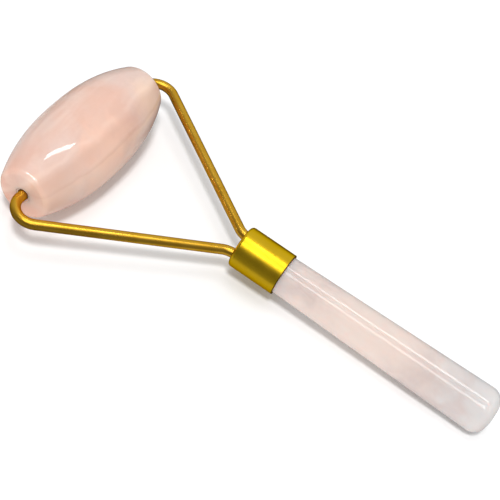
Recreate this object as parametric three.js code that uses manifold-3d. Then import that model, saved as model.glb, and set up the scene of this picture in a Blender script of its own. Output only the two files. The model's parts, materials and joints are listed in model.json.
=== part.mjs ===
// A one-headed face roller: a rose quartz barrel turns on the ends of a bent wire yoke, and a metal
// collar bonds the yoke to a tapered rose quartz handle. Millimetres and degrees, +Z up.
//
// The roller lies at rest on a flat surface at z = 0: the barrel's middle and the rim of the handle's
// end touch it. The handle points along +X, the barrel's axis runs along Y, and the origin is on the
// surface under the middle of the whole object.
import * as THREE from 'three';
import { mergeVertices } from 'three/addons/utils/BufferGeometryUtils.js';
import Module from 'manifold-3d';

const wasm = await Module();
wasm.setup();

// ---- Driving dimensions ----
const barrelLength = 59.8;
const barrelRadius = 13.7; // at the middle of its length
const barrelEndRadius = 7.9; // where its side would meet its flat end
const barrelFullness = 2.3; // exponent of its side: 2 is a parabola, and more is fuller
const barrelEdgeRounding = 2;

const wireRadius = 1.6;
const wireShoulder = 1.3; // straight wire between the barrel's end and the outer bend
const wireStub = 9; // straight wire inside the barrel
const outerBendRadius = 5.6;
const innerBendRadius = 7;
const legInset = 0.55; // between a leg and the collar's bore

const sleeveLength = 11;
const sleeveWall = 0.5;
const sleeveRecess = 0.3; // from the barrel's end face down to the sleeve

const reach = 55.9; // from the barrel's axis to the collar's front face
const collarRadius = 6.6;
const collarLength = 15.4;
const collarWall = 0.5;
const collarFrontWall = 1.2;
const collarRounding = 1.1; // of its front edge

const handleLength = 70.9; // the length that shows behind the collar
const handleEndRadius = 7.2;
const handleEndRounding = 4.2;

const runningClearance = 0.15; // between the wire and the sleeve that turns on it
const fitClearance = 0.2; // between pieces that are bonded or pressed together

// ---- Sizes that follow from these ----
const sleeveBore = wireRadius + runningClearance;
const sleeveRadius = sleeveBore + sleeveWall;
const barrelBore = sleeveRadius + fitClearance;
const collarBore = collarRadius - collarWall;
const collarFloor = reach + collarFrontWall;
const collarRear = reach + collarLength;
const bendEnd = reach + collarFrontWall / 2; // the inner bends end inside the collar's front wall
const legOffset = collarBore - legInset - wireRadius; // from the yoke's middle line
const loopCentre = collarFloor + fitClearance + wireRadius; // where the legs turn into their loop
const handleFront = loopCentre + legOffset + wireRadius + legInset;
const handleEnd = collarRear + handleLength;
const handleNeckRadius = collarBore - fitClearance;

// ---- Finishes ----
const finishes = {
  barrelStone: { color: 0xebc9b9, roughness: 0.16, metalness: 0 },
  handleStone: { color: 0xe2d0ca, roughness: 0.16, metalness: 0 },
  wireMetal: { color: 0xb98a2e, roughness: 0.32, metalness: 1 },
  collarMetal: { color: 0xc9a61f, roughness: 0.38, metalness: 1 },
  nylon: { color: 0xf1e9e0, roughness: 0.5, metalness: 0 },
  resin: { color: 0xe6ddc4, roughness: 0.35, metalness: 0 },
};

// ---- Fineness ----
const barrelSides = 56;
const barrelRings = 16; // along its curved side
const collarSides = 48;
const handleSides = 48;
const sleeveSides = 24;
const wireSides = 12;
const roundingSteps = 4; // along each rounded edge
const bendStep = THREE.MathUtils.degToRad(15); // the most that one step of a bend turns

// ---- Outlines ----

// Points on an arc, both ends included. Angles are in radians from the outline's first axis.
function arcPoints(centreX, centreY, radius, fromAngle, toAngle, steps) {
  return Array.from({ length: steps + 1 }, (_, i) => {
    const angle = THREE.MathUtils.lerp(fromAngle, toAngle, i / steps);
    return new THREE.Vector2(centreX + radius * Math.cos(angle), centreY + radius * Math.sin(angle));
  });
}

// A solid of revolution about the Y axis. Its outline holds (radius, height) points that run upwards on
// the outside, and it starts and ends on the axis or closes on itself.
function turned(outline, sides) {
  return new THREE.LatheGeometry(outline, sides);
}

// A lathe solid about the X axis instead, with its heights along +X.
function turnedAlongX(outline, sides) {
  return turned(outline, sides).rotateZ(-Math.PI / 2);
}

// ---- Booleans ----

function toSolid(geometry) {
  const bare = geometry.clone();
  bare.deleteAttribute('normal');
  bare.deleteAttribute('uv');
  const merged = mergeVertices(bare);
  return new wasm.Manifold(new wasm.Mesh({
    numProp: 3,
    vertProperties: new Float32Array(merged.attributes.position.array),
    triVerts: new Uint32Array(merged.index.array),
  }));
}

function toGeometry(solid) {
  const { vertProperties, triVerts } = solid.getMesh();
  const geometry = new THREE.BufferGeometry();
  geometry.setAttribute('position', new THREE.BufferAttribute(vertProperties, 3));
  geometry.setIndex(new THREE.BufferAttribute(triVerts, 1));
  geometry.computeVertexNormals();
  return geometry;
}

function cut(geometry, cutters) {
  const solid = cutters.reduce((rest, cutter) => rest.subtract(toSolid(cutter)), toSolid(geometry));
  return toGeometry(solid);
}

// ---- The wire's route ----
// It is worked out in the yoke's own plane: x runs from the barrel's axis towards the handle, y along
// the barrel's axis, and the yoke mirrors in y = 0.

class Arc extends THREE.Curve {
  constructor(centreX, centreY, radius, fromAngle, toAngle) {
    super();
    Object.assign(this, { centreX, centreY, radius, fromAngle, toAngle });
  }

  getPoint(t, target = new THREE.Vector3()) {
    const angle = THREE.MathUtils.lerp(this.fromAngle, this.toAngle, t);
    const x = this.centreX + this.radius * Math.cos(angle);
    const y = this.centreY + this.radius * Math.sin(angle);
    return target.set(x, y, 0);
  }
}

// Curves end to end, where a straight one takes one step and a bend as many as it needs.
class Route extends THREE.Curve {
  constructor(curves) {
    super();
    this.stretches = curves.map((curve) => {
      const turn = curve instanceof Arc ? Math.abs(curve.toAngle - curve.fromAngle) : 0;
      return { curve, steps: Math.max(1, Math.ceil(turn / bendStep)) };
    });
    this.steps = this.stretches.reduce((sum, stretch) => sum + stretch.steps, 0);
  }

  find(u) {
    let step = u * this.steps;
    for (const { curve, steps } of this.stretches) {
      if (step <= steps) return [curve, step / steps];
      step -= steps;
    }
    return [this.stretches.at(-1).curve, 1];
  }

  getPointAt(u, target) {
    const [curve, t] = this.find(u);
    return curve.getPoint(t, target);
  }

  getTangentAt(u, target) {
    const [curve, t] = this.find(u);
    return curve.getTangent(t, target);
  }
}

function line(from, to) {
  return new THREE.LineCurve3(from, to);
}

function wireRoute() {
  const stubTip = barrelLength / 2 - wireStub;
  const outerCentre = new THREE.Vector2(outerBendRadius, barrelLength / 2 + wireShoulder);
  const innerCentre = new THREE.Vector2(bendEnd, legOffset + innerBendRadius);

  // The arm is the line that touches both bend circles and crosses between them.
  const between = innerCentre.clone().sub(outerCentre);
  const lean = Math.asin((outerBendRadius + innerBendRadius) / between.length());
  const armAngle = Math.atan2(between.y, between.x) - lean;
  const outer = new Arc(outerCentre.x, outerCentre.y, outerBendRadius, Math.PI, armAngle + Math.PI / 2);
  const inner = new Arc(innerCentre.x, innerCentre.y, innerBendRadius, armAngle - Math.PI / 2, -Math.PI / 2);

  const flat = (x, y) => new THREE.Vector3(x, y, 0);
  const farHalf = [
    line(flat(0, stubTip), outer.getPoint(0)),
    outer,
    line(outer.getPoint(1), inner.getPoint(0)),
    inner,
    line(inner.getPoint(1), flat(loopCentre, legOffset)),
  ];
  const loop = new Arc(loopCentre, 0, legOffset, Math.PI / 2, -Math.PI / 2);
  return new Route([...farHalf, loop, ...farHalf.map(mirroredBack).reverse()]);
}

// The same curve on the yoke's other side, run the other way.
function mirroredBack(curve) {
  if (curve instanceof Arc) {
    return new Arc(curve.centreX, -curve.centreY, curve.radius, -curve.toAngle, -curve.fromAngle);
  }
  const flip = new THREE.Vector3(1, -1, 1);
  return line(curve.v2.clone().multiply(flip), curve.v1.clone().multiply(flip));
}

function wireAlong(route, radius) {
  const section = new THREE.Shape(arcPoints(0, 0, radius, 0, 2 * Math.PI, wireSides).slice(0, -1));
  return new THREE.ExtrudeGeometry(section, { steps: route.steps, extrudePath: route });
}

// ---- Pieces ----

function barrelSideRadius(height) {
  const share = Math.abs(2 * height / barrelLength) ** barrelFullness;
  return barrelEndRadius + (barrelRadius - barrelEndRadius) * (1 - share);
}

function barrelStone() {
  const half = barrelLength / 2;
  const endSlope = Math.atan((barrelRadius - barrelEndRadius) * barrelFullness / half);
  const tangent = barrelEdgeRounding * Math.tan((Math.PI / 2 - endSlope) / 2);
  const edgeX = barrelEndRadius - tangent;
  const edgeY = half - barrelEdgeRounding;
  const edge = arcPoints(edgeX, edgeY, barrelEdgeRounding, endSlope, Math.PI / 2, roundingSteps);
  const sideTop = edge[0].y;
  const side = Array.from({ length: barrelRings - 1 }, (_, i) => {
    const height = THREE.MathUtils.lerp(-sideTop, sideTop, (i + 1) / barrelRings);
    return new THREE.Vector2(barrelSideRadius(height), height);
  });
  const lowerEdge = edge.map((point) => new THREE.Vector2(point.x, -point.y)).reverse();
  const bottomOfBore = new THREE.Vector2(barrelBore, -half);
  const topOfBore = new THREE.Vector2(barrelBore, half);
  return turned([bottomOfBore, ...lowerEdge, ...side, ...edge, topOfBore, bottomOfBore], barrelSides);
}

function bearingSleeve() {
  const corner = (radius, height) => new THREE.Vector2(radius, height);
  return turned([
    corner(sleeveBore, 0),
    corner(sleeveRadius, 0),
    corner(sleeveRadius, sleeveLength),
    corner(sleeveBore, sleeveLength),
    corner(sleeveBore, 0),
  ], sleeveSides);
}

function collarCup() {
  const cup = turnedAlongX([
    new THREE.Vector2(0, 0),
    ...arcPoints(collarRadius - collarRounding, collarRounding, collarRounding, -Math.PI / 2, 0, roundingSteps),
    new THREE.Vector2(collarRadius, collarLength),
    new THREE.Vector2(collarBore, collarLength),
    new THREE.Vector2(collarBore, collarFrontWall),
    new THREE.Vector2(0, collarFrontWall),
  ], collarSides);
  const holes = [-1, 1].map((side) => {
    const hole = new THREE.CylinderGeometry(sleeveBore, sleeveBore, 4 * collarFrontWall, sleeveSides);
    return hole.rotateZ(-Math.PI / 2).translate(0, side * legOffset, 0);
  });
  return cut(cup, holes);
}

function bondingResin(route) {
  const front = collarFloor + fitClearance;
  const rear = handleFront - fitClearance;
  const plug = turnedAlongX([
    new THREE.Vector2(0, front),
    new THREE.Vector2(handleNeckRadius, front),
    new THREE.Vector2(handleNeckRadius, rear),
    new THREE.Vector2(0, rear),
  ], collarSides);
  return cut(plug, [wireAlong(route, sleeveBore)]);
}

function handleStone() {
  const endCentreRadius = handleEndRadius - handleEndRounding;
  const endCentreX = handleLength - handleEndRounding;
  const insertion = collarRear - handleFront;
  return turnedAlongX([
    new THREE.Vector2(0, -insertion),
    new THREE.Vector2(handleNeckRadius, -insertion),
    new THREE.Vector2(handleNeckRadius, 0),
    ...arcPoints(endCentreRadius, endCentreX, handleEndRounding, 0, Math.PI / 2, 2 * roundingSteps),
    new THREE.Vector2(0, handleLength),
  ], handleSides);
}

// ---- Assembly ----

function piece(name, geometry, finish) {
  const mesh = new THREE.Mesh(geometry, new THREE.MeshStandardMaterial(finish));
  mesh.name = name;
  return mesh;
}

// The slope of the handle when the barrel and the rim of the handle's end both touch the surface.
function restTilt() {
  const along = handleEnd - handleEndRounding;
  const across = handleEndRadius - handleEndRounding;
  const drop = Math.asin((barrelRadius - handleEndRounding) / Math.hypot(along, across));
  return drop - Math.atan2(across, along);
}

const tilt = restTilt();
const route = wireRoute();

// Everything that stays still while the barrel turns, with the handle along +X.
const still = new THREE.Group();
const collar = piece('collar', collarCup(), finishes.collarMetal);
collar.position.x = reach;
const handle = piece('handle_stone', handleStone(), finishes.handleStone);
handle.position.x = collarRear;
still.add(
  piece('yoke_wire', wireAlong(route, wireRadius), finishes.wireMetal),
  piece('bonding_resin', bondingResin(route), finishes.resin),
  collar,
  handle,
);
still.rotation.y = tilt;

// The barrel and its two sleeves turn about Y.
const turning = new THREE.Group();
turning.add(piece('roller_stone', barrelStone(), finishes.barrelStone));
for (const [name, side] of [['sleeve_left', -1], ['sleeve_right', 1]]) {
  const sleeve = piece(name, bearingSleeve(), finishes.nylon);
  const outerFace = barrelLength / 2 - sleeveRecess;
  sleeve.position.y = side < 0 ? -outerFace : outerFace - sleeveLength;
  turning.add(sleeve);
}

const farthestX = (handleEnd - handleEndRounding) * Math.cos(tilt)
  + (handleEndRadius - handleEndRounding) * Math.sin(tilt) + handleEndRounding;

const faceRoller = new THREE.Group();
faceRoller.add(still, turning);
faceRoller.position.set((barrelRadius - farthestX) / 2, 0, barrelRadius);

export default faceRoller;
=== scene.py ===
"""The looks of a one-headed rose quartz face roller.

A polished stone barrel turns on the ends of a satin gold wire, and a satin gold collar bonds that wire to a
tapered stone handle. Everything is in metres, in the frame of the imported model: the handle points along +X
and slopes down to the surface, the barrel's axis runs along Y, and the roller rests on z = 0.
"""

from __future__ import annotations

import json
import logging
import math
from dataclasses import dataclass, field
from enum import Enum

import bmesh
import bpy
from mathutils import Matrix, Vector

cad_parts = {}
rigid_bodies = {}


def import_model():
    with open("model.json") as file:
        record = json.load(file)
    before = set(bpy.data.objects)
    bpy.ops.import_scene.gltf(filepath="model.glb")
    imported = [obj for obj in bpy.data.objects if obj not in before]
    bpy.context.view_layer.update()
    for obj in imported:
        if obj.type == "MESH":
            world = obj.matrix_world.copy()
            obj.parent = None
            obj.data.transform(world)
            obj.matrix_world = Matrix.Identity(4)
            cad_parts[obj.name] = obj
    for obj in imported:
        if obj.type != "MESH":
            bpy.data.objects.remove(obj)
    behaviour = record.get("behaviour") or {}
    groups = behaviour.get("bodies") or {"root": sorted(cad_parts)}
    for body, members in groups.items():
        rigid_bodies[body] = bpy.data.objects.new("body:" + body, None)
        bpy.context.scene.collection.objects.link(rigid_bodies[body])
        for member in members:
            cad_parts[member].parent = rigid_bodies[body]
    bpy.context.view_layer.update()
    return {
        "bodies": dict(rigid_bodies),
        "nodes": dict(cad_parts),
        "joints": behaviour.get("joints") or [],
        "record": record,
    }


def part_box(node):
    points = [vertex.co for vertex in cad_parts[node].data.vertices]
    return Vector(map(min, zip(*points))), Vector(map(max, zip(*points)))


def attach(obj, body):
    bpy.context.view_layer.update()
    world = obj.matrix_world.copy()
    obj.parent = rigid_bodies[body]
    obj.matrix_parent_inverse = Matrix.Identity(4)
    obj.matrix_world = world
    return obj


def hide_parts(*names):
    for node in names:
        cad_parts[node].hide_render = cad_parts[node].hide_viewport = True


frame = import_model()

log = logging.getLogger("face_roller")

MM = 0.001
WELD_DISTANCE = 1e-7
SHARP_EDGE = math.radians(40.0)
BUMP_DEPTH = 0.05 * MM

FLOAT = "NodeSocketFloat"
INTEGER = "NodeSocketInt"
VECTOR = "NodeSocketVector"
GEOMETRY = "NodeSocketGeometry"
MATERIAL = "NodeSocketMaterial"

Socket = bpy.types.NodeSocket
NodeTree = bpy.types.NodeTree
Object = bpy.types.Object
Triple = tuple[float, float, float]
Colour = Triple


class Side(Enum):
    """The two ends of the barrel, by the sign of Y."""

    LEFT = -1
    RIGHT = 1


class Body(Enum):
    """The bodies that pieces ride on."""

    HANDLE = "handle"
    ROLLER = "roller"


# --- Node trees ---


class Canvas:
    """A node tree being filled: adds nodes, sets their inputs and joins their sockets."""

    def __init__(self, tree: NodeTree) -> None:
        """Start on a node tree."""
        self.tree = tree

    def node(self, kind: str, inputs: dict | None = None, **settings: object) -> bpy.types.Node:
        """Add a node.

        Args:
            kind: The node's type, as Blender names it.
            inputs: Input socket names or numbers, each with a value or with a socket to join.
            settings: Properties of the node itself, such as its operation.

        Returns:
            The new node.
        """
        node = self.tree.nodes.new(kind)
        for name, value in settings.items():
            setattr(node, name, value)
        for key, value in (inputs or {}).items():
            self.feed(node.inputs[key], value)
        return node

    def feed(self, socket: Socket, value: object) -> None:
        """Join a socket to another one, or set its own value.

        Args:
            socket: The input socket.
            value: An output socket, or a plain value. A colour's value is opaque.
        """
        if isinstance(value, Socket):
            self.tree.links.new(value, socket)
        elif socket.type == "RGBA":
            socket.default_value = (*value, 1.0)
        else:
            socket.default_value = value

    def group(self, tree: NodeTree, inputs: dict) -> dict[str, Socket]:
        """Place a shader group with its inputs, and return its outputs by name."""
        return dict(self.node("ShaderNodeGroup", inputs, node_tree=tree).outputs.items())

    def math(self, operation: str, *values: object) -> Socket:
        """Add a Math node with its inputs in order, and return its result."""
        return self.node("ShaderNodeMath", dict(enumerate(values)), operation=operation).outputs[0]

    def vector(self, operation: str, *values: object) -> Socket:
        """Add a Vector Math node with its inputs in order, and return its result."""
        node = self.node("ShaderNodeVectorMath", dict(enumerate(values)), operation=operation)
        return node.outputs["Value" if operation in ("DOT_PRODUCT", "DISTANCE") else "Vector"]

    def ramp(self, value: object, low: float, high: float, start: object = 0.0, end: object = 1.0) -> Socket:
        """Carry a value from one range to another with a smooth step, clamped at both ends.

        Args:
            value: The number or socket to carry over.
            low: Where the step starts.
            high: Where the step ends.
            start: The result at and before low.
            end: The result at and after high.

        Returns:
            The socket of the result.
        """
        inputs = {"Value": value, "From Min": low, "From Max": high, "To Min": start, "To Max": end}
        node = self.node("ShaderNodeMapRange", inputs, interpolation_type="SMOOTHSTEP")
        return node.outputs["Result"]

    def blend(self, share: object, first: object, second: object) -> Socket:
        """Mix two colours.

        Args:
            share: How much of the second colour shows, from 0 to 1.
            first: The first colour or its socket.
            second: The second colour or its socket.

        Returns:
            The socket of the mixed colour.
        """
        node = self.node("ShaderNodeMix", data_type="RGBA")
        self.feed(node.inputs["Factor"], share)
        self.feed(node.inputs[6], first)
        self.feed(node.inputs[7], second)
        return node.outputs[2]

    def noise(self, place: object, scale: object, detail: float = 2.0, distortion: float = 0.0) -> Socket:
        """Add a noise texture, read at a place with so many waves per metre."""
        inputs = {"Vector": place, "Scale": scale, "Detail": detail, "Distortion": distortion}
        return self.node("ShaderNodeTexNoise", inputs).outputs[0]

    def bump(self, height: Socket, strength: float) -> Socket:
        """Add a bump of the depth that all finishes share, and return its normal."""
        inputs = {"Height": height, "Strength": strength, "Distance": BUMP_DEPTH}
        return self.node("ShaderNodeBump", inputs).outputs[0]

    def place_from(self, centre: Vector) -> Socket:
        """Add the nodes for the place on a piece, measured from its pattern's centre."""
        return self.vector("SUBTRACT", self.node("ShaderNodeTexCoord").outputs["Object"], centre)


def new_group(
    name: str, kind: str, inputs: dict[str, tuple[str, object]], outputs: dict[str, str]
) -> NodeTree:
    """Start a node group with named sockets.

    Args:
        name: The group's name.
        kind: ShaderNodeTree or GeometryNodeTree.
        inputs: Each input's socket type and default value, or None where it takes none.
        outputs: Each output's socket type.

    Returns:
        The empty group.
    """
    tree = bpy.data.node_groups.new(name, kind)
    for label, (socket_type, default) in inputs.items():
        socket = tree.interface.new_socket(name=label, in_out="INPUT", socket_type=socket_type)
        if default is not None:
            socket.default_value = default
    for label, socket_type in outputs.items():
        tree.interface.new_socket(name=label, in_out="OUTPUT", socket_type=socket_type)
    return tree


# --- Geometry Nodes ---


def apply_modifier(piece: Object, modifier: bpy.types.Modifier) -> None:
    """Give a piece the plain mesh that its one modifier makes of it.

    Args:
        piece: The piece.
        modifier: Its modifier, which is removed.
    """
    seen = bpy.context.evaluated_depsgraph_get()
    mesh = bpy.data.meshes.new_from_object(piece.evaluated_get(seen), depsgraph=seen)
    piece.modifiers.remove(modifier)
    piece.data = mesh


class GeometryTree:
    """A Geometry Nodes tree that turns an object's mesh into a finished plain mesh."""

    def __init__(self, name: str, sizes: dict[str, tuple[str, object]]) -> None:
        """Start the tree with its named inputs.

        Args:
            name: The tree's name.
            sizes: The type and default value of each input besides the geometry and the material.
        """
        inputs = {"Geometry": (GEOMETRY, None), **sizes, "Material": (MATERIAL, None)}
        self.tree = new_group(name, "GeometryNodeTree", inputs, {"Geometry": GEOMETRY})
        self.canvas = Canvas(self.tree)
        self.inputs = self.canvas.node("NodeGroupInput").outputs

    def close(self, geometry: Socket) -> None:
        """End the tree in Realize Instances and Set Material.

        Args:
            geometry: The socket of the geometry that the tree has made.
        """
        whole = self.canvas.node("GeometryNodeRealizeInstances", {"Geometry": geometry})
        coated = {"Geometry": whole.outputs[0], "Material": self.inputs["Material"]}
        dressed = self.canvas.node("GeometryNodeSetMaterial", coated)
        self.canvas.node("NodeGroupOutput", {"Geometry": dressed.outputs[0]})

    def make(self, start: Object, values: dict[str, object]) -> Object:
        """Run the tree on an object and leave the result as its plain mesh.

        Args:
            start: The object whose mesh the tree starts from.
            values: A value for each named input.

        Returns:
            The same object, with the finished mesh and no modifier.
        """
        modifier = start.modifiers.new(self.tree.name, "NODES")
        modifier.node_group = self.tree
        for item in self.tree.interface.items_tree:
            if item.in_out == "INPUT" and item.name in values:
                modifier[item.identifier] = values[item.name]
        apply_modifier(start, modifier)
        return start


class TurnedTree(GeometryTree):
    """Turns an outline about the Z axis, as on a lathe, and leaves it as uneven as grinding by hand does.

    The outline is a line of points in the XZ plane, where X is the radius. Grinding only takes material
    away.
    """

    def __init__(self) -> None:
        """Build the tree."""
        sizes = {
            "Sides": (INTEGER, 128),
            "Uneven Depth": (FLOAT, 0.0),
            "Uneven Scale": (FLOAT, 100.0),
            "Seed": (FLOAT, 0.0),
            "Merge Distance": (FLOAT, 1e-6),
        }
        super().__init__("turned solid", sizes)
        add = self.canvas
        surface = {"Geometry": self.revolve(), "Distance": self.inputs["Merge Distance"]}
        merged = add.node("GeometryNodeMergeByDistance", surface).outputs[0]
        waves = {"W": self.inputs["Seed"], "Scale": self.inputs["Uneven Scale"], "Detail": 1.0}
        noise = add.node("ShaderNodeTexNoise", waves, noise_dimensions="4D").outputs[0]
        depth = add.math("MULTIPLY", noise, self.inputs["Uneven Depth"])
        normal = add.node("GeometryNodeInputNormal").outputs[0]
        inward = add.vector("MULTIPLY", normal, add.math("MULTIPLY", depth, -1.0))
        ground = add.node("GeometryNodeSetPosition", {"Geometry": merged, "Offset": inward})
        self.close(ground.outputs[0])

    def revolve(self) -> Socket:
        """Add the nodes that lay a grid round the axis, one row of it for each point of the outline.

        Returns:
            The socket of the surface, still open along one seam.
        """
        add = self.canvas
        outline = self.inputs["Geometry"]
        sides = self.inputs["Sides"]
        size = add.node("GeometryNodeAttributeDomainSize", {"Geometry": outline}, component="MESH")
        count = size.outputs["Point Count"]
        columns = add.math("ADD", sides, 1)
        grid = add.node("GeometryNodeMeshGrid", {"Vertices X": columns, "Vertices Y": count})
        index = add.node("GeometryNodeInputIndex").outputs[0]
        row = add.math("MODULO", index, count)
        column = add.math("FLOOR", add.math("DIVIDE", index, count))
        angle = add.math("MULTIPLY", add.math("DIVIDE", column, sides), 2 * math.pi)
        place = add.node("GeometryNodeInputPosition").outputs[0]
        read = {"Geometry": outline, "Value": place, "Index": row}
        point = add.node("GeometryNodeSampleIndex", read, data_type="FLOAT_VECTOR", domain="POINT")
        turn = {"Vector": point.outputs[0], "Angle": angle}
        turned = add.node("ShaderNodeVectorRotate", turn, rotation_type="Z_AXIS")
        moved = {"Geometry": grid.outputs["Mesh"], "Position": turned.outputs[0]}
        return add.node("GeometryNodeSetPosition", moved).outputs[0]


class BentWireTree(GeometryTree):
    """Bends a wire along a line of corners: each corner is rounded to its own bend radius."""

    BEND_RADIUS = "bend_radius"

    def __init__(self) -> None:
        """Build the tree."""
        sizes = {"Wire Radius": (FLOAT, 1.5 * MM), "Sides": (INTEGER, 32), "Bend Points": (INTEGER, 32)}
        super().__init__("bent wire", sizes)
        add = self.canvas
        line = add.node("GeometryNodeMeshToCurve", {"Mesh": self.inputs["Geometry"]}).outputs[0]
        radius = add.node("GeometryNodeInputNamedAttribute", {"Name": self.BEND_RADIUS}, data_type="FLOAT")
        corners = {"Curve": line, "Count": self.inputs["Bend Points"], "Radius": radius.outputs[0]}
        bent = add.node("GeometryNodeFilletCurve", corners, mode="POLY").outputs[0]
        circle = {"Resolution": self.inputs["Sides"], "Radius": self.inputs["Wire Radius"]}
        section = add.node("GeometryNodeCurvePrimitiveCircle", circle).outputs[0]
        swept = {"Curve": bent, "Profile Curve": section, "Fill Caps": True}
        self.close(add.node("GeometryNodeCurveToMesh", swept).outputs[0])


# --- Meshes ---


def arc(centre: Vector, radius: float, start: float, end: float, steps: int) -> list[Vector]:
    """Points on an arc, as (radius, height), in equal steps from one angle to another, ends included."""
    angles = [start + (end - start) * i / steps for i in range(steps + 1)]
    return [centre + radius * Vector((math.cos(a), math.sin(a))) for a in angles]


def line_object(name: str, points: list[Vector], bend_radii: list[float] | None = None) -> Object:
    """Make an object from a line of points.

    Args:
        name: The object's name.
        points: The points in order.
        bend_radii: A bend radius for each point, where the line is a wire's.

    Returns:
        The object, linked to the scene.
    """
    mesh = bpy.data.meshes.new(name)
    mesh.from_pydata(points, [(i, i + 1) for i in range(len(points) - 1)], [])
    if bend_radii is not None:
        attribute = mesh.attributes.new(BentWireTree.BEND_RADIUS, "FLOAT", "POINT")
        attribute.data.foreach_set("value", bend_radii)
    made = bpy.data.objects.new(name, mesh)
    bpy.context.scene.collection.objects.link(made)
    return made


def outline_points(outline: list[Vector]) -> list[Vector]:
    """An outline's (radius, height) points as points in the XZ plane."""
    return [Vector((point.x, 0.0, point.y)) for point in outline]


def finish_mesh(piece: Object, place: Matrix) -> None:
    """Turn a piece's faces outwards, move its mesh to its place and shade it.

    Args:
        piece: The piece, with its object at the origin.
        place: Where its mesh goes.
    """
    shape = bmesh.new()
    shape.from_mesh(piece.data)
    bmesh.ops.remove_doubles(shape, verts=shape.verts, dist=WELD_DISTANCE)
    bmesh.ops.dissolve_degenerate(shape, edges=shape.edges, dist=WELD_DISTANCE)
    bmesh.ops.recalc_face_normals(shape, faces=shape.faces)
    shape.transform(place)
    shape.to_mesh(piece.data)
    shape.free()
    piece.data.polygons.foreach_set("use_smooth", [True] * len(piece.data.polygons))
    piece.data.set_sharp_from_angle(angle=SHARP_EDGE)
    piece.data.update()


# --- Shader groups ---


def shader_group(
    name: str, inputs: dict[str, tuple[str, object]], outputs: tuple[str, ...]
) -> tuple[Canvas, bpy.types.NodeOutputs]:
    """Start a shader group whose outputs are numbers, and return its canvas and its given inputs."""
    add = Canvas(new_group(name, "ShaderNodeTree", inputs, dict.fromkeys(outputs, FLOAT)))
    return add, add.node("NodeGroupInput").outputs


def stone_depth_group() -> NodeTree:
    """Build the group that gives a milky stone its clouds and the drawn-out streaks between them.

    Returns:
        The group.
    """
    inputs = {
        "Vector": (VECTOR, None),
        "Cloud Scale": (FLOAT, 60.0),
        "Streak Scale": (FLOAT, 120.0),
        "Streak Stretch": (VECTOR, (1.0, 0.2, 1.0)),
        "Grain Scale": (FLOAT, 900.0),
    }
    add, given = shader_group("stone depth", inputs, ("Cloud", "Streak", "Grain"))
    place = given["Vector"]
    clouds = add.noise(place, given["Cloud Scale"], detail=2.5, distortion=0.5)
    drawn = add.vector("MULTIPLY", place, given["Streak Stretch"])
    streaks = add.noise(drawn, given["Streak Scale"], detail=3.0, distortion=0.7)
    grain = add.noise(place, given["Grain Scale"])
    outputs = {
        "Cloud": add.ramp(clouds, 0.32, 0.68),
        "Streak": add.ramp(streaks, 0.42, 0.72),
        "Grain": add.ramp(grain, 0.35, 0.65),
    }
    add.node("NodeGroupOutput", outputs)
    return add.tree


def line_and_shade_group() -> NodeTree:
    """Build the group for a pale wavering line in a stone, with a darker band on one side of it, which the
    barrel uses as painted shade.

    Returns:
        The group.
    """
    inputs = {
        "Vector": (VECTOR, None),
        "Direction": (VECTOR, (1.0, 0.0, 0.0)),
        "Distance": (FLOAT, 0.0),
        "Width": (FLOAT, 0.4 * MM),
        "Waver": (FLOAT, 1.5 * MM),
        "Waver Scale": (FLOAT, 90.0),
        "Break Scale": (FLOAT, 110.0),
        "Shade Depth": (FLOAT, 4.0 * MM),
    }
    add, given = shader_group("pale line and painted shade", inputs, ("Line", "Shade"))
    place = given["Vector"]
    plain = add.math("SUBTRACT", add.vector("DOT_PRODUCT", place, given["Direction"]), given["Distance"])
    sway = add.math("SUBTRACT", add.noise(place, given["Waver Scale"], detail=2.5), 0.5)
    away = add.math("ADD", plain, add.math("MULTIPLY", sway, given["Waver"]))
    share = add.math("DIVIDE", add.math("ABSOLUTE", away), given["Width"])
    broken = add.ramp(add.noise(place, given["Break Scale"], detail=1.0), 0.36, 0.56, start=0.25)
    past = add.math("DIVIDE", away, given["Shade Depth"])
    near_side = add.ramp(past, 0.0, 0.5)
    far_side = add.ramp(past, 0.4, 1.3, start=1.0, end=0.0)
    line = add.ramp(share, 0.0, 1.0, start=1.0, end=0.0)
    outputs = {
        "Line": add.math("MULTIPLY", line, broken),
        "Shade": add.math("MULTIPLY", near_side, far_side),
    }
    add.node("NodeGroupOutput", outputs)
    return add.tree


def soft_patch_group() -> NodeTree:
    """Build the group for a patch of other colour with a soft, uneven edge.

    Returns:
        The group.
    """
    inputs = {
        "Vector": (VECTOR, None),
        "Centre": (VECTOR, None),
        "Radius": (FLOAT, 10.0 * MM),
        "Edge Scale": (FLOAT, 140.0),
        "Edge Sway": (FLOAT, 1.1),
    }
    add, given = shader_group("soft patch", inputs, ("Mask",))
    place = given["Vector"]
    share = add.math("DIVIDE", add.vector("DISTANCE", place, given["Centre"]), given["Radius"])
    sway = add.math("SUBTRACT", add.noise(place, given["Edge Scale"], detail=3.0, distortion=0.5), 0.5)
    uneven = add.math("ADD", share, add.math("MULTIPLY", sway, given["Edge Sway"]))
    add.node("NodeGroupOutput", {"Mask": add.ramp(uneven, 0.2, 1.0, start=1.0, end=0.0)})
    return add.tree


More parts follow.
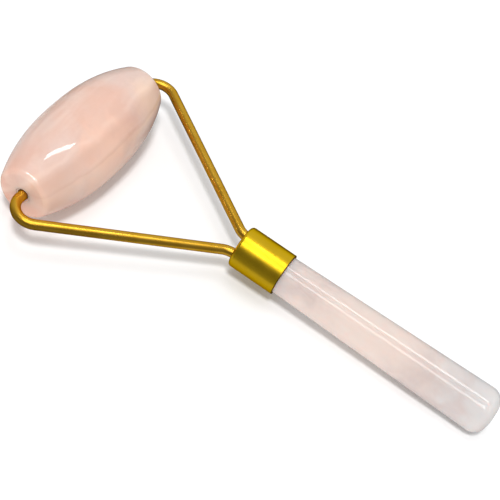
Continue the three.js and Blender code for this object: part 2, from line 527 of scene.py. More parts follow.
def handling_marks_group() -> NodeTree:
    """Build the group for the faint smears and hairline scratches that any polished surface picks up.

    Returns:
        The group.
    """
    inputs = {
        "Vector": (VECTOR, None),
        "Roughness": (FLOAT, 0.2),
        "Smear": (FLOAT, 0.05),
        "Smear Scale": (FLOAT, 70.0),
        "Hairline Scale": (FLOAT, 260.0),
        "Hairline Stretch": (VECTOR, (1.0, 14.0, 14.0)),
    }
    add, given = shader_group("handling marks", inputs, ("Roughness", "Height"))
    place = given["Vector"]
    smears = add.ramp(add.noise(place, given["Smear Scale"], detail=3.0, distortion=0.8), 0.35, 0.7)
    stretched = add.node("ShaderNodeMapping", {"Vector": place, "Scale": given["Hairline Stretch"]})
    hairlines = add.noise(stretched.outputs[0], given["Hairline Scale"])
    added = add.math("MULTIPLY", smears, given["Smear"])
    outputs = {"Roughness": add.math("ADD", given["Roughness"], added), "Height": hairlines}
    add.node("NodeGroupOutput", outputs)
    return add.tree


def rim_shade_group() -> NodeTree:
    """Build the group for painted shade along an edge: a mask for all that lies beyond a plane.

    Returns:
        The group.
    """
    inputs = {
        "Vector": (VECTOR, None),
        "Direction": (VECTOR, (1.0, 0.0, 0.0)),
        "Distance": (FLOAT, 1.0),
        "Fade": (FLOAT, 0.15 * MM),
    }
    add, given = shader_group("painted rim shade", inputs, ("Mask",))
    reach = add.vector("DOT_PRODUCT", given["Vector"], given["Direction"])
    share = add.math("DIVIDE", add.math("SUBTRACT", reach, given["Distance"]), given["Fade"])
    add.node("NodeGroupOutput", {"Mask": add.ramp(share, 0.0, 1.0)})
    return add.tree


@dataclass
class ShaderGroups:
    """The shader groups that the materials share, each built once."""

    depth: NodeTree = field(default_factory=stone_depth_group)
    line_and_shade: NodeTree = field(default_factory=line_and_shade_group)
    patch: NodeTree = field(default_factory=soft_patch_group)
    marks: NodeTree = field(default_factory=handling_marks_group)
    rim_shade: NodeTree = field(default_factory=rim_shade_group)


# --- Finishes ---


@dataclass
class Surface:
    """A material being made: its canvas, the shared groups, the place on the piece and its marks."""

    add: Canvas
    groups: ShaderGroups
    place: Socket
    marks: dict[str, Socket]


@dataclass(frozen=True, kw_only=True)
class Finish:
    """What every finish has: a name, how rough it is and how much handling adds to that."""

    name: str
    roughness: float
    smear: float

    def paint(self, surface: Surface) -> dict[str, object]:
        """Add the finish's own nodes, and return a value or a socket for each shader input it sets."""
        raise NotImplementedError

    def material(self, groups: ShaderGroups, centre: Vector) -> bpy.types.Material:
        """Build the material.

        Args:
            groups: The shared shader groups.
            centre: The place on the piece that its pattern is centred on.

        Returns:
            The material.
        """
        material, add, shader = blank_material(self.name)
        place = add.place_from(centre)
        touched = {"Vector": place, "Roughness": self.roughness, "Smear": self.smear}
        surface = Surface(add, groups, place, add.group(groups.marks, touched))
        for name, value in self.paint(surface).items():
            add.feed(shader.inputs[name], value)
        return material


@dataclass(frozen=True)
class LineAndShade:
    """A pale line's plane, as its direction and distance from the pattern's centre, and its looks: the line
    and a darker band on one side, which on the barrel is painted shade.
    """

    direction: Triple
    distance: float
    width: float = 0.5 * MM
    waver: float = 1.5 * MM
    shade_depth: float = 4.0 * MM
    line_share: float = 0.5
    shade_share: float = 0.3

    def inputs(self, place: Socket) -> dict[str, object]:
        """The line and its darker band as inputs of their shader group."""
        return {
            "Vector": place,
            "Direction": self.direction,
            "Distance": self.distance,
            "Width": self.width,
            "Waver": self.waver,
            "Shade Depth": self.shade_depth,
        }


@dataclass(frozen=True)
class Patch:
    """A soft patch of another colour, placed from the pattern's centre; some of them are painted light and
    painted shade.
    """

    centre: Triple
    radius: float
    colour: Colour
    share: float


@dataclass(frozen=True, kw_only=True)
class StoneFinish(Finish):
    """Polished rose quartz: milky and lit from within, with clouds, streaks, patches and pale lines with
    darker bands; on the barrel some patches and bands are painted light, painted shade and a painted
    reflection.
    """

    body: Colour
    milk: Colour
    streak: Colour
    shade: Colour
    line: Colour
    lines_and_shades: tuple[LineAndShade, ...] = ()
    patches: tuple[Patch, ...] = ()
    roughness: float = 0.05
    smear: float = 0.03
    ior: float = 1.54
    cloud_scale: float = 60.0
    streak_scale: float = 150.0
    streak_stretch: Triple = (1.0, 0.25, 1.0)
    streak_share: float = 0.55
    grain_share: float = 0.06
    scratch_strength: float = 0.02
    glow_weight: float = 0.85
    glow_depth: float = 6.0 * MM
    glow_colours: Triple = (1.0, 0.75, 0.65)

    def clouded(self, surface: Surface) -> Socket:
        """Add the nodes for the clouds, streaks and grain.

        Args:
            surface: The material being made.

        Returns:
            The socket of the colour.
        """
        add = surface.add
        scales = {
            "Vector": surface.place,
            "Cloud Scale": self.cloud_scale,
            "Streak Scale": self.streak_scale,
            "Streak Stretch": self.streak_stretch,
        }
        depth = add.group(surface.groups.depth, scales)
        colour = add.blend(depth["Cloud"], self.body, self.milk)
        colour = add.blend(add.math("MULTIPLY", depth["Streak"], self.streak_share), colour, self.streak)
        return add.blend(add.math("MULTIPLY", depth["Grain"], self.grain_share), colour, self.shade)

    def paint(self, surface: Surface) -> dict[str, object]:
        """Add the stone's nodes.

        Args:
            surface: The material being made.

        Returns:
            A value or a socket for each shader input that the stone sets.
        """
        add, groups, place = surface.add, surface.groups, surface.place
        colour = self.clouded(surface)
        # Patches of other colour; on the barrel and the handle some of them are painted light and painted
        # shade.
        for patch in self.patches:
            spot = {"Vector": place, "Centre": patch.centre, "Radius": patch.radius}
            mask = add.group(groups.patch, spot)["Mask"]
            colour = add.blend(add.math("MULTIPLY", mask, patch.share), colour, patch.colour)
        for line_and_shade in self.lines_and_shades:
            seen = add.group(groups.line_and_shade, line_and_shade.inputs(place))
            # A darker band beside each line: on the barrel, painted shade and a painted reflection.
            colour = add.blend(add.math("MULTIPLY", seen["Shade"], line_and_shade.shade_share), colour, self.shade)
            colour = add.blend(add.math("MULTIPLY", seen["Line"], line_and_shade.line_share), colour, self.line)
        return {
            "Base Color": colour,
            "Roughness": surface.marks["Roughness"],
            "Normal": add.bump(surface.marks["Height"], self.scratch_strength),
            "IOR": self.ior,
            "Subsurface Weight": self.glow_weight,
            "Subsurface Scale": self.glow_depth,
            "Subsurface Radius": self.glow_colours,
        }


@dataclass(frozen=True, kw_only=True)
class MetalFinish(Finish):
    """Satin gold-coloured metal with a fine grain, and with painted shade along an edge where it has one."""

    body: Colour
    rubbed: Colour
    glancing: Colour
    smear: float = 0.06
    tint_scale: float = 150.0
    tint_share: float = 0.6
    grain_scale: float = 2200.0
    grain_stretch: Triple = (0.15, 1.0, 1.0)
    grain_strength: float = 0.06
    rim_shade_colour: Colour | None = None
    rim_shade_direction: Triple = (1.0, 0.0, 0.0)
    rim_shade_distance: float = 0.0
    rim_shade_roughness: float = 0.25

    def paint(self, surface: Surface) -> dict[str, object]:
        """Add the metal's nodes.

        Args:
            surface: The material being made.

        Returns:
            A value or a socket for each shader input that the metal sets.
        """
        add, place = surface.add, surface.place
        stretched = add.node("ShaderNodeMapping", {"Vector": place, "Scale": self.grain_stretch})
        grain = add.noise(stretched.outputs[0], self.grain_scale, detail=3.0)
        tint = add.ramp(add.noise(place, self.tint_scale, detail=3.0), 0.3, 0.7, end=self.tint_share)
        colour = add.blend(tint, self.body, self.rubbed)
        roughness = surface.marks["Roughness"]
        # Painted shade: the edge beyond the plane turns dark brown and rougher.
        if self.rim_shade_colour is not None:
            plane = {"Vector": place, "Direction": self.rim_shade_direction, "Distance": self.rim_shade_distance}
            mask = add.group(surface.groups.rim_shade, plane)["Mask"]
            colour = add.blend(mask, colour, self.rim_shade_colour)
            roughness = add.math("ADD", roughness, add.math("MULTIPLY", mask, self.rim_shade_roughness))
        return {
            "Base Color": colour,
            "Roughness": roughness,
            "Normal": add.bump(grain, self.grain_strength),
            "Metallic": 1.0,
            "Specular Tint": self.glancing,
        }


@dataclass(frozen=True, kw_only=True)
class PlasticFinish(Finish):
    """Tinted nylon or cured resin: a milky plastic with soft mottling."""

    body: Colour
    mottle: Colour
    roughness: float = 0.4
    smear: float = 0.05
    mottle_scale: float = 500.0
    mottle_strength: float = 0.1
    glow_weight: float = 0.3
    glow_depth: float = 1.0 * MM

    def paint(self, surface: Surface) -> dict[str, object]:
        """Add the plastic's nodes.

        Args:
            surface: The material being made.

        Returns:
            A value or a socket for each shader input that the plastic sets.
        """
        add = surface.add
        mottling = add.noise(surface.place, self.mottle_scale, detail=3.0)
        return {
            "Base Color": add.blend(mottling, self.body, self.mottle),
            "Roughness": surface.marks["Roughness"],
            "Normal": add.bump(mottling, self.mottle_strength),
            "Subsurface Weight": self.glow_weight,
            "Subsurface Scale": self.glow_depth,
        }


def blank_material(name: str) -> tuple[bpy.types.Material, Canvas, bpy.types.Node]:
    """Start a material with a Principled shader.

    Args:
        name: The material's name.

    Returns:
        The material, a canvas on its tree and its Principled node.
    """
    material = bpy.data.materials.new(name)
    material.use_nodes = True
    add = Canvas(material.node_tree)
    material.node_tree.nodes.clear()
    shader = add.node("ShaderNodeBsdfPrincipled")
    add.node("ShaderNodeOutputMaterial", {"Surface": shader.outputs[0]})
    return material, add, shader


ROSE_BARREL = StoneFinish(
    name="rose_quartz_barrel",
    body=(0.650, 0.415, 0.335),
    milk=(0.665, 0.500, 0.440),
    streak=(0.760, 0.600, 0.520),
    shade=(0.530, 0.310, 0.235),
    line=(0.820, 0.660, 0.570),
    lines_and_shades=(
        # Painted shade: a pale line along the barrel, with a darker band on its lower +X side where a
        # shallow ground facet turns away from the light.
        LineAndShade((0.740, -0.005, -0.672), -3.0 * MM, width=1.3 * MM, waver=4.5 * MM, shade_depth=6.0 * MM,
              line_share=0.22, shade_share=0.36),
        # Painted reflection: a thin darker band near the barrel's +X edge, with no pale line, for the dark
        # line that the polished side mirrors there.
        LineAndShade((-0.531, 0.014, 0.848), -1.2 * MM, width=0.5 * MM, waver=3.2 * MM, shade_depth=1.5 * MM,
              line_share=0.0, shade_share=0.22),
    ),
    patches=(
        Patch((3.5 * MM, 4.5 * MM, 13.2 * MM), 15.0 * MM, (0.680, 0.430, 0.340), 0.6),
        Patch((7.2 * MM, 22.0 * MM, 8.2 * MM), 11.0 * MM, (0.780, 0.570, 0.440), 0.85),
        # Painted shade, lightened: a greyish beige patch by the near end, below the edge where a shallow
        # ground facet turns away from the light.
        Patch((7.0 * MM, -27.5 * MM, 4.7 * MM), 11.0 * MM, (0.670, 0.480, 0.390), 0.7),
        # Painted light: a lighter patch on the barrel's lower +X side, which the lamps leave darker.
        Patch((12.0 * MM, -6.0 * MM, 4.0 * MM), 17.0 * MM, (0.800, 0.545, 0.430), 0.8),
        # Painted reflection: a paler, greyer patch on the barrel's upper -X side, for the greyish sheen that
        # the polished stone shows there.
        Patch((-9.0 * MM, -14.0 * MM, 7.0 * MM), 13.0 * MM, (0.650, 0.480, 0.415), 0.7),
    ),
)
ROSE_HANDLE = StoneFinish(
    name="rose_quartz_handle",
    body=(0.508, 0.436, 0.416),
    milk=(0.536, 0.464, 0.446),
    streak=(0.564, 0.500, 0.483),
    shade=(0.466, 0.393, 0.380),
    line=(0.592, 0.543, 0.526),
    lines_and_shades=(
        LineAndShade((0.15, 0.80, 0.58), 3.5 * MM, width=0.6 * MM, waver=2.5 * MM,
              line_share=0.15, shade_share=0.08),
        LineAndShade((0.25, -0.70, 0.66), 6.0 * MM, width=0.5 * MM, waver=2.0 * MM,
              line_share=0.15, shade_share=0.08),
    ),
    patches=(
        # Partly the stone's pinker tone and partly painted light: a lighter middle, centred towards the
        # lower front side that the table lights from below.
        Patch((26.0 * MM, -4.0 * MM, 0.0), 34.0 * MM, (0.684, 0.588, 0.533), 0.8),
        Patch((70.0 * MM, 2.0 * MM, 2.0 * MM), 24.0 * MM, (0.585, 0.581, 0.578), 0.85),
    ),
    cloud_scale=40.0,
    streak_stretch=(0.2, 1.0, 1.0),
    streak_share=0.25,
    roughness=0.02,
    smear=0.01,
    glow_weight=1.0,
    glow_depth=9.0 * MM,
)
GOLD_WIRE = MetalFinish(
    name="satin_gold_wire",
    body=(0.68, 0.37, 0.030),
    rubbed=(0.80, 0.48, 0.060),
    glancing=(0.34, 0.20, 0.07),
    roughness=0.24,
    grain_scale=900.0,
    grain_strength=0.02,
)
NYLON = PlasticFinish(
    name="rose_tinted_nylon",
    body=(0.74, 0.52, 0.43),
    mottle=(0.78, 0.58, 0.49),
)
RESIN = PlasticFinish(
    name="cured_resin",
    body=(0.72, 0.64, 0.46),
    mottle=(0.78, 0.71, 0.55),
    roughness=0.25,
)


def gold_collar(handle_direction: Vector, length: float, rim_shade_width: float) -> MetalFinish:
    """The collar's finish: satin gold, with painted shade on its rear edge, dark and rougher, for the
    shadowed gap where the handle enters.
    """
    return MetalFinish(
        name="satin_gold_collar",
        body=(0.77, 0.49, 0.016),
        rubbed=(0.82, 0.54, 0.024),
        glancing=(0.55, 0.42, 0.16),
        roughness=0.28,
        grain_stretch=(1.0, 0.15, 0.15),
        # Painted shade: the dark brown of the collar's rear edge, for the shadowed gap at the handle.
        rim_shade_colour=(0.16, 0.10, 0.02),
        rim_shade_direction=tuple(handle_direction),
        rim_shade_distance=length - rim_shade_width,
    )


# --- The roller's layout ---


@dataclass
class Layout:
    """Where the roller's axes lie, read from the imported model.

    The yoke's own frame has its origin at the barrel's centre, x along the handle, y along the barrel.
    """

    centre: Vector
    handle_end: Vector
    handle_direction: Vector

    @classmethod
    def from_frame(cls, packed: dict) -> Layout:
        """Read the layout from the spin joint and the handle's end mount.

        Args:
            packed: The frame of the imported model.

        Returns:
            The layout.
        """
        joint = packed["joints"][0]
        mount = packed["record"]["mounts"][0]
        return cls(Vector(joint["pos_m"]), Vector(mount["pos_m"]), Vector(mount["axis"]).normalized())

    @property
    def handle_length(self) -> float:
        """From the barrel's axis to the flat at the handle's free end."""
        return (self.handle_end - self.centre).length

    def yoke_place(self) -> Matrix:
        """Work out where the yoke's frame goes.

        Returns:
            The matrix that carries it there.
        """
        across = Vector((0.0, 1.0, 0.0))
        up = self.handle_direction.cross(across)
        turn = Matrix((self.handle_direction, across, up)).transposed()
        return Matrix.Translation(self.centre) @ turn.to_4x4()

    def along_handle(self, distance: float) -> Matrix:
        """The matrix that lays a turned piece along the handle, that far from the barrel's axis."""
        lay_down = Matrix.Rotation(math.radians(90), 4, "Y")
        return self.yoke_place() @ Matrix.Translation((distance, 0.0, 0.0)) @ lay_down

    def along_barrel(self, distance: float = 0.0) -> Matrix:
        """The matrix that lays a turned piece along the barrel towards +Y, that far from its middle."""
        lay_down = Matrix.Rotation(math.radians(-90), 4, "X")
        return Matrix.Translation(self.centre + Vector((0.0, distance, 0.0))) @ lay_down


@dataclass(frozen=True)
class Grinding:
    """How uneven grinding by hand leaves a stone: how deep, how many waves per metre, and the seed."""

    depth: float
    scale: float
    seed: float

    def inputs(self) -> dict[str, float]:
        """The grinding as inputs of the turned tree."""
        return {"Uneven Depth": self.depth, "Uneven Scale": self.scale, "Seed": self.seed}


@dataclass
class Workshop:
    """What every sub-assembly works with: the layout, the trees and the shader groups."""

    layout: Layout
    turned: TurnedTree = field(default_factory=TurnedTree)
    bent: BentWireTree = field(default_factory=BentWireTree)
    groups: ShaderGroups = field(default_factory=ShaderGroups)

    def turn(
        self, name: str, outline: list[Vector], place: Matrix, values: dict, finish: Finish, centre: Vector
    ) -> Object:
        """Make a piece on the lathe.

        Args:
            name: The piece's name.
            outline: Its (radius, height) points.
            place: Where its mesh goes.
            values: Values for the tree's named inputs.
            finish: Its finish.
            centre: Where its pattern is centred.

        Returns:
            The piece.
        """
        piece = line_object(name, outline_points(outline))
        material = finish.material(self.groups, centre)
        self.turned.make(piece, {**values, "Material": material})
        finish_mesh(piece, place)
        return piece


def install(piece: Object, body: Body, node: str) -> None:
    """Put a finished piece in a CAD node's place.

    Args:
        piece: The piece.
        body: The body it rides on.
        node: The CAD node it stands for.
    """
    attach(piece, body.value)
    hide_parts(node)
    log.info("%s stands for %s: %d faces", piece.name, node, len(piece.data.polygons))


# --- Sub-assemblies ---


@dataclass
class BarrelAssembly:
    """The stone barrel with a nylon sleeve in each end of its bore, which closes up tight on them."""

    shop: Workshop
    end_radius: float = 7.9 * MM
    fullness: float = 2.3
    edge_rounding: float = 2.0 * MM
    bore_radius: float = 2.26 * MM
    bore_chamfer: float = 0.05 * MM
    sleeve_outer_radius: float = 2.25 * MM
    sleeve_inner_radius: float = 1.75 * MM
    sleeve_length: float = 11.0 * MM
    sleeve_recess: float = 0.3 * MM
    sleeve_chamfer: float = 0.02 * MM
    grinding: Grinding = Grinding(0.06 * MM, 55.0, 3.0)
    rings: int = 120
    edge_steps: int = 12
    sides: int = 224
    sleeve_sides: int = 64

    def __post_init__(self) -> None:
        """Read the barrel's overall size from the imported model."""
        low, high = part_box("roller_stone")
        self.length = high.y - low.y
        self.radius = (high.z - low.z) / 2

    def side_radius(self, height: float) -> float:
        """The radius of the barrel's curved side at a height from its middle."""
        share = abs(2 * height / self.length) ** self.fullness
        return self.end_radius + (self.radius - self.end_radius) * (1 - share)

    def stone_outline(self) -> list[Vector]:
        """Draw the barrel's outline, from one end of the bore round the outside and back.

        Returns:
            The outline's points.
        """
        half = self.length / 2
        slope = math.atan((self.radius - self.end_radius) * self.fullness / half)
        tangent = self.edge_rounding * math.tan((math.pi / 2 - slope) / 2)
        centre = Vector((self.end_radius - tangent, half - self.edge_rounding))
        edge = arc(centre, self.edge_rounding, slope, math.pi / 2, self.edge_steps)
        side_top = edge[0].y
        heights = [side_top * (2 * (i + 1) / self.rings - 1) for i in range(self.rings - 1)]
        side = [Vector((self.side_radius(h), h)) for h in heights]
        mouth = Vector((self.bore_radius + self.bore_chamfer, half))
        top = [*edge, mouth, Vector((self.bore_radius, half - self.bore_chamfer))]
        bottom = [Vector((p.x, -p.y)) for p in reversed(top)]
        return bottom + side + top + [bottom[0]]

    def sleeve_outline(self) -> list[Vector]:
        """Draw a sleeve's outline, with its edges chamfered.

        Returns:
            The outline's points.
        """
        inner, outer, cut = self.sleeve_inner_radius, self.sleeve_outer_radius, self.sleeve_chamfer
        end = self.sleeve_length
        corners = [(inner, cut), (inner + cut, 0.0), (outer - cut, 0.0), (outer, cut), (outer, end - cut),
                   (outer - cut, end), (inner + cut, end), (inner, end - cut), (inner, cut)]
        return [Vector(corner) for corner in corners]

    def build(self) -> Object:
        """Make the barrel and its sleeves and put them on the roller body.

        Returns:
            The barrel.
        """
        layout = self.shop.layout
        values = {"Sides": self.sides, **self.grinding.inputs()}
        stone = self.shop.turn("barrel_of_rose_quartz", self.stone_outline(), layout.along_barrel(), values,
                               ROSE_BARREL, layout.centre)
        install(stone, Body.ROLLER, "roller_stone")
        for side in Side:
            name = side.name.lower()
            face = self.length / 2 - self.sleeve_recess
            start = face - self.sleeve_length if side is Side.RIGHT else -face
            sleeve = self.shop.turn(f"bore_sleeve_{name}", self.sleeve_outline(), layout.along_barrel(start),
                                    {"Sides": self.sleeve_sides}, NYLON, layout.centre)
            install(sleeve, Body.ROLLER, f"sleeve_{name}")
        return stone


@dataclass
class YokeAssembly:
    """The bent wire that the barrel turns on, thin enough to stay inside the CAD wire's faceted bends."""

    shop: Workshop
    wire_radius: float = 1.55 * MM
    barrel_half_length: float = 29.9 * MM
    shoulder: float = 1.3 * MM
    stub: float = 9.0 * MM
    outer_bend: float = 5.6 * MM
    inner_bend: float = 7.0 * MM
    bend_end: float = 56.5 * MM
    leg_offset: float = 3.95 * MM
    loop_centre: float = 58.9 * MM
    sides: int = 40
    bend_points: int = 28

    def corners(self) -> tuple[list[Vector], list[float]]:
        """Work out the wire's corners before it is bent.

        Returns:
            The corners, and the bend radius at each.
        """
        outer = Vector((self.outer_bend, self.barrel_half_length + self.shoulder))
        inner = Vector((self.bend_end, self.leg_offset + self.inner_bend))
        between = inner - outer
        lean = math.asin((self.outer_bend + self.inner_bend) / between.length)
        slope = math.tan(math.atan2(between.y, between.x) - lean)
        arm_start = outer + self.outer_bend * Vector((-slope, 1.0)).normalized()
        outer_corner = Vector((0.0, arm_start.y - slope * arm_start.x))
        inner_corner = Vector(((self.leg_offset - outer_corner.y) / slope, self.leg_offset))
        tip = Vector((0.0, self.barrel_half_length - self.stub))
        loop_corner = Vector((self.loop_centre + self.leg_offset, self.leg_offset))
        bends = [(outer_corner, self.outer_bend), (inner_corner, self.inner_bend)]
        half = [(tip, 0.0), *bends, (loop_corner, self.leg_offset)]
        whole = half + [(Vector((p.x, -p.y)), r) for p, r in reversed(half)]
        return [p.to_3d() for p, _ in whole], [r for _, r in whole]

    def build(self) -> Object:
        """Make the wire and put it on the handle body.

        Returns:
            The wire.
        """
        points, radii = self.corners()
        wire = line_object("yoke_of_bent_wire", points, radii)
        values = {"Wire Radius": self.wire_radius, "Sides": self.sides, "Bend Points": self.bend_points}
        layout = self.shop.layout
        material = GOLD_WIRE.material(self.shop.groups, layout.centre)
        self.shop.bent.make(wire, {**values, "Material": material})
        finish_mesh(wire, layout.yoke_place())
        install(wire, Body.HANDLE, "yoke_wire")
        return wire


@dataclass
class GripAssembly:
    """The collar, the resin inside it and the stone handle that it holds."""

    shop: Workshop
    reach: float = 55.9 * MM
    collar_radius: float = 6.6 * MM
    collar_length: float = 15.4 * MM
    collar_wall: float = 0.5 * MM
    collar_floor: float = 1.2 * MM
    collar_rounding: float = 1.1 * MM
    rim_rounding: float = 0.15 * MM
    # How wide the painted shade on the collar's rear edge is.
    rim_shade_width: float = 0.35 * MM
    leg_offset: float = 3.95 * MM
    leg_hole_radius: float = 1.75 * MM
    neck_radius: float = 5.9 * MM
    neck_length: float = 6.3 * MM
    handle_end_radius: float = 7.2 * MM
    handle_end_rounding: float = 4.2 * MM
    grinding: Grinding = Grinding(0.02 * MM, 40.0, 8.0)
    front_steps: int = 12
    rim_steps: int = 5
    end_steps: int = 32
    taper_steps: int = 48
    hole_sides: int = 48
    sides: int = 192

    def collar_outline(self) -> list[Vector]:
        """Draw the collar's outline, from its front wall round the rear rim to the floor inside.

        Returns:
            The outline's points.
        """
        bore = self.collar_radius - self.collar_wall
        rounding, rim = self.collar_rounding, self.rim_rounding
        quarter = math.pi / 2
        front_centre = Vector((self.collar_radius - rounding, rounding))
        front = arc(front_centre, rounding, -quarter, 0.0, self.front_steps)
        rim_height = self.collar_length - rim
        rim_outer = arc(Vector((self.collar_radius - rim, rim_height)), rim, 0.0, quarter, self.rim_steps)
        rim_inner = arc(Vector((bore + rim, rim_height)), rim, quarter, 2 * quarter, self.rim_steps)
        floor = [Vector((bore, self.collar_floor)), Vector((0.0, self.collar_floor))]
        return [Vector((0.0, 0.0)), *front, *rim_outer, *rim_inner, *floor]

    def handle_outline(self, length: float) -> list[Vector]:
        """Draw the handle's outline, from its flat inside the collar to the flat at its free end.

        Args:
            length: How far it reaches behind the collar.

        Returns:
            The outline's points.
        """
        rounding = self.handle_end_rounding
        centre = Vector((self.handle_end_radius - rounding, length - rounding))
        end = arc(centre, rounding, 0.0, math.pi / 2, self.end_steps)
        shoulder = Vector((self.neck_radius, 0.0))
        taper = [shoulder.lerp(end[0], i / self.taper_steps) for i in range(self.taper_steps)]
        inner_flat = [Vector((0.0, -self.neck_length)), Vector((self.neck_radius, -self.neck_length))]
        return [*inner_flat, *taper, *end, Vector((0.0, length))]

    def drill_legs(self, collar: Object, place: Matrix) -> None:
        """Cut the two holes that the wire's legs pass through.

        Args:
            collar: The collar, in place.
            place: The matrix that put it there.
        """
        drill = line_object("leg_drill", [])
        shape = bmesh.new()
        for side in Side:
            spot = Matrix.Translation((0.0, side.value * self.leg_offset, 0.0))
            radius, depth = self.leg_hole_radius, 4 * self.collar_floor
            bmesh.ops.create_cone(shape, cap_ends=True, segments=self.hole_sides, radius1=radius,
                                  radius2=radius, depth=depth, matrix=place @ spot)
        shape.to_mesh(drill.data)
        shape.free()
        cut = collar.modifiers.new("leg holes", "BOOLEAN")
        cut.object = drill
        cut.operation = "DIFFERENCE"
        cut.solver = "EXACT"
        apply_modifier(collar, cut)
        bpy.data.objects.remove(drill)
        collar.data.set_sharp_from_angle(angle=SHARP_EDGE)

    def build(self) -> tuple[Object, Object]:
        """Make the collar and the handle, put them on the handle body, and dress the resin.

        Returns:
            The collar and the handle.
        """
        layout = self.shop.layout
        collar_place = layout.along_handle(self.reach)
        gold = gold_collar(layout.handle_direction, self.collar_length, self.rim_shade_width)
        collar = self.shop.turn("collar_of_satin_gold", self.collar_outline(), collar_place,
                                {"Sides": self.sides}, gold, collar_place.translation)
        self.drill_legs(collar, collar_place)
        install(collar, Body.HANDLE, "collar")

        collar_rear = self.reach + self.collar_length
        place = layout.along_handle(collar_rear)
        values = {"Sides": self.sides, **self.grinding.inputs()}
        outline = self.handle_outline(layout.handle_length - collar_rear)
        handle = self.shop.turn("handle_of_rose_quartz", outline, place, values, ROSE_HANDLE,
                                place.translation)
        install(handle, Body.HANDLE, "handle_stone")

        resin = frame["nodes"]["bonding_resin"]
        resin.data.materials.clear()
        resin.data.materials.append(RESIN.material(self.shop.groups, collar_place.translation))
        log.info("bonding_resin keeps its own shape")
        return collar, handle


# --- Studio ---


class Lights(Enum):
    """What a lamp is for."""

    EVERYTHING = "everything"
    METAL_GLOSS = "reflections in the metal"
    BARREL_GLOSS = "reflections in the barrel"
    HANDLE_GLOSS = "reflections in the handle"
    UNDERSIDE = "the stones from below, as the table does"


@dataclass(frozen=True)
class Lamp:
    """An area light that faces the barrel: where it hangs from the barrel's centre, its size and its light.

    Its length lies along X, turned towards +Y by turn_degrees.
    """

    name: str
    place: Triple
    size: tuple[float, float]
    radiance: float
    lights: Lights
    turn_degrees: float = 0.0


def facing(place: Vector, forward: Vector, right: Vector) -> Matrix:
    """The matrix of a lamp or a camera at a place, from where it looks and where its right side is."""
    turn = Matrix((right, right.cross(forward), -forward)).transposed()
    return Matrix.Translation(place) @ turn.to_4x4()


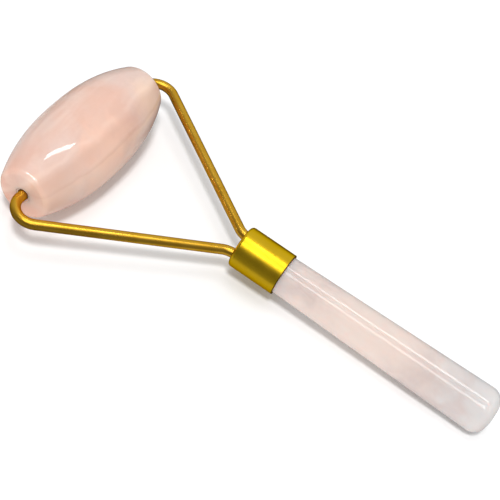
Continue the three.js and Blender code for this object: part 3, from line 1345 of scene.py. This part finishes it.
@dataclass
class Studio:
    """A white table in a soft room, under a key light and a broad one, and the camera.

    The table is lit until it is a clean white, and reflections see it and the room darker than that. The
    other lamps reach only their own pieces: strips and panels as reflections, and the bounce from below.
    """

    centre: Vector
    shown_in: dict[Lights, list[Object]]
    floor_size: float = 6.0
    floor_white: float = 0.92
    floor_reflected: float = 0.50
    floor_reflected_far: float = 0.18
    darkens_from: float = 24.0 * MM
    darkens_to: float = 34.0 * MM
    room_light: float = 0.60
    room_tint: Triple = (0.985, 0.995, 1.0)
    reflected_front: float = 0.16
    reflected_behind: float = 0.70
    front_to: float = -0.9
    behind_from: float = 0.7
    view_direction: Triple = (-0.15177, 0.64995, -0.74467)
    camera_place: Triple = (0.04728, -0.22456, 0.26888)
    roll_degrees: float = 22.63
    lens: float = 86.3
    sensor_width: float = 36.0
    lamps: tuple[Lamp, ...] = (
        Lamp("key", (0.142, -0.484, 1.089), (0.17, 0.17), 84.0, Lights.EVERYTHING),
        Lamp("broad", (-0.03, 0.02, 1.2), (0.45, 0.45), 3.5, Lights.EVERYTHING),
        Lamp("metal_overhead", (-0.04, 0.052, 0.6), (0.42, 0.04), 7.0, Lights.METAL_GLOSS),
        Lamp("metal_front", (-0.04, -0.319, 0.6), (0.42, 0.04), 7.0, Lights.METAL_GLOSS),
        Lamp("metal_panel", (0.07, -0.17, 0.62), (0.42, 0.60), 1.55, Lights.METAL_GLOSS),
        Lamp("handle_overhead", (0.13, 0.08, 0.6), (0.32, 0.08), 5.5, Lights.HANDLE_GLOSS),
        Lamp("handle_front", (0.13, -0.285, 0.6), (0.36, 0.11), 3.6, Lights.HANDLE_GLOSS),
        Lamp("barrel_front", (-0.05, -0.319, 0.6), (0.50, 0.10), 18.0, Lights.BARREL_GLOSS),
        Lamp("barrel_window", (0.03, 0.10, 0.6), (0.34, 0.055), 13.0, Lights.BARREL_GLOSS, 29.0),
        Lamp("bounce", (0.04, -0.30, -0.26), (0.40, 0.30), 1.8, Lights.UNDERSIDE),
    )

    def build(self) -> None:
        """Set up the floor, the light and the camera."""
        self.build_floor()
        self.build_room()
        for lamp in self.lamps:
            hung = self.hang(lamp)
            if lamp.lights is not Lights.EVERYTHING:
                self.keep_to_pieces(hung, lamp.lights)
        self.build_camera()
        bpy.context.scene.view_settings.view_transform = "Standard"

    def build_floor(self) -> None:
        """Lay a pale floor at z = 0, with painted shade that only reflections see."""
        half = self.floor_size / 2
        mesh = bpy.data.meshes.new("floor")
        corners = [(-half, -half, 0), (half, -half, 0), (half, half, 0), (-half, half, 0)]
        mesh.from_pydata(corners, [], [(0, 1, 2, 3)])
        floor = bpy.data.objects.new("floor", mesh)
        bpy.context.scene.collection.objects.link(floor)
        material, add, shader = blank_material("white_table")
        seen_in_gloss = add.node("ShaderNodeLightPath").outputs["Is Glossy Ray"]
        place = add.node("ShaderNodeTexCoord").outputs["Object"]
        across = add.math("ABSOLUTE", add.node("ShaderNodeSeparateXYZ", {0: place}).outputs["Y"])
        white = (self.floor_white,) * 3
        # Painted shade for reflections: glossy rays see the table darker, and darker still farther from the
        # roller along Y.
        darker = add.ramp(
            across, self.darkens_from, self.darkens_to, self.floor_reflected, self.floor_reflected_far
        )
        add.feed(shader.inputs["Base Color"], add.blend(seen_in_gloss, white, darker))
        shader.inputs["Roughness"].default_value = 0.9
        shader.inputs["Specular IOR Level"].default_value = 0.0
        mesh.materials.append(material)

    def build_room(self) -> None:
        """Light the room evenly; reflections see it brighter behind the roller than in front of it."""
        world = bpy.data.worlds.new("room")
        world.use_nodes = True
        bpy.context.scene.world = world
        add = Canvas(world.node_tree)
        world.node_tree.nodes.clear()
        direction = add.node("ShaderNodeTexCoord").outputs["Generated"]
        split = add.node("ShaderNodeSeparateXYZ", {0: direction})
        reflected = add.ramp(
            split.outputs["Y"], self.front_to, self.behind_from, self.reflected_front, self.reflected_behind
        )
        in_gloss = add.node("ShaderNodeLightPath").outputs["Is Glossy Ray"]
        kept = add.math("MULTIPLY", add.math("SUBTRACT", 1.0, in_gloss), self.room_light)
        strength = add.math("ADD", kept, add.math("MULTIPLY", in_gloss, reflected))
        inputs = {"Color": self.room_tint, "Strength": strength}
        room = add.node("ShaderNodeBackground", inputs)
        add.node("ShaderNodeOutputWorld", {"Surface": room.outputs[0]})

    def keep_to_pieces(self, hung: Object, lights: Lights) -> None:
        """Let a light reach only its own pieces: from below through the table, or else as a reflection.

        Args:
            hung: The light.
            lights: What the light is for.
        """
        group = bpy.data.collections.new(f"lit by {hung.name}")
        for piece in self.shown_in[lights]:
            group.objects.link(piece)
        hung.light_linking.receiver_collection = group
        if lights is Lights.UNDERSIDE:
            hung.light_linking.blocker_collection = group
        else:
            hung.visible_diffuse = False
            hung.visible_glossy = True

    def hang(self, lamp: Lamp) -> Object:
        """Hang an area light so that it faces the barrel.

        Args:
            lamp: The light.

        Returns:
            The light's object, which lights surfaces but doesn't show in reflections.
        """
        light = bpy.data.lights.new(lamp.name, "AREA")
        light.shape = "RECTANGLE"
        light.size, light.size_y = lamp.size
        light.energy = lamp.radiance * math.pi * lamp.size[0] * lamp.size[1]
        hung = bpy.data.objects.new(lamp.name, light)
        place = Vector(lamp.place)
        forward = -place.normalized()
        slant = math.radians(lamp.turn_degrees)
        across = Vector((math.cos(slant), math.sin(slant), 0.0))
        across = (across - across.dot(forward) * forward).normalized()
        hung.matrix_world = facing(self.centre + place, forward, across)
        hung.visible_glossy = False
        bpy.context.scene.collection.objects.link(hung)
        return hung

    def build_camera(self) -> None:
        """Place the camera, looking down along the view direction and rolled."""
        data = bpy.data.cameras.new("camera")
        data.lens = self.lens
        data.sensor_width = self.sensor_width
        camera = bpy.data.objects.new("camera", data)
        bpy.context.scene.collection.objects.link(camera)
        forward = Vector(self.view_direction).normalized()
        level = forward.cross(Vector((0.0, 0.0, 1.0))).normalized()
        roll = math.radians(self.roll_degrees)
        right = level * math.cos(roll) + level.cross(forward) * math.sin(roll)
        camera.matrix_world = facing(Vector(self.camera_place), forward, right)
        bpy.context.scene.camera = camera


def main() -> None:
    """Build the roller's looks, the studio and the camera."""
    logging.basicConfig(level=logging.INFO, format="%(name)s: %(message)s")
    layout = Layout.from_frame(frame)
    shop = Workshop(layout)
    barrel = BarrelAssembly(shop).build()
    wire = YokeAssembly(shop).build()
    collar, handle = GripAssembly(shop).build()
    shown_in = {
        Lights.METAL_GLOSS: [wire, collar],
        Lights.BARREL_GLOSS: [barrel],
        Lights.HANDLE_GLOSS: [handle],
        Lights.UNDERSIDE: [barrel, handle],
    }
    Studio(layout.centre, shown_in).build()


if __name__ == "__main__":
    main()
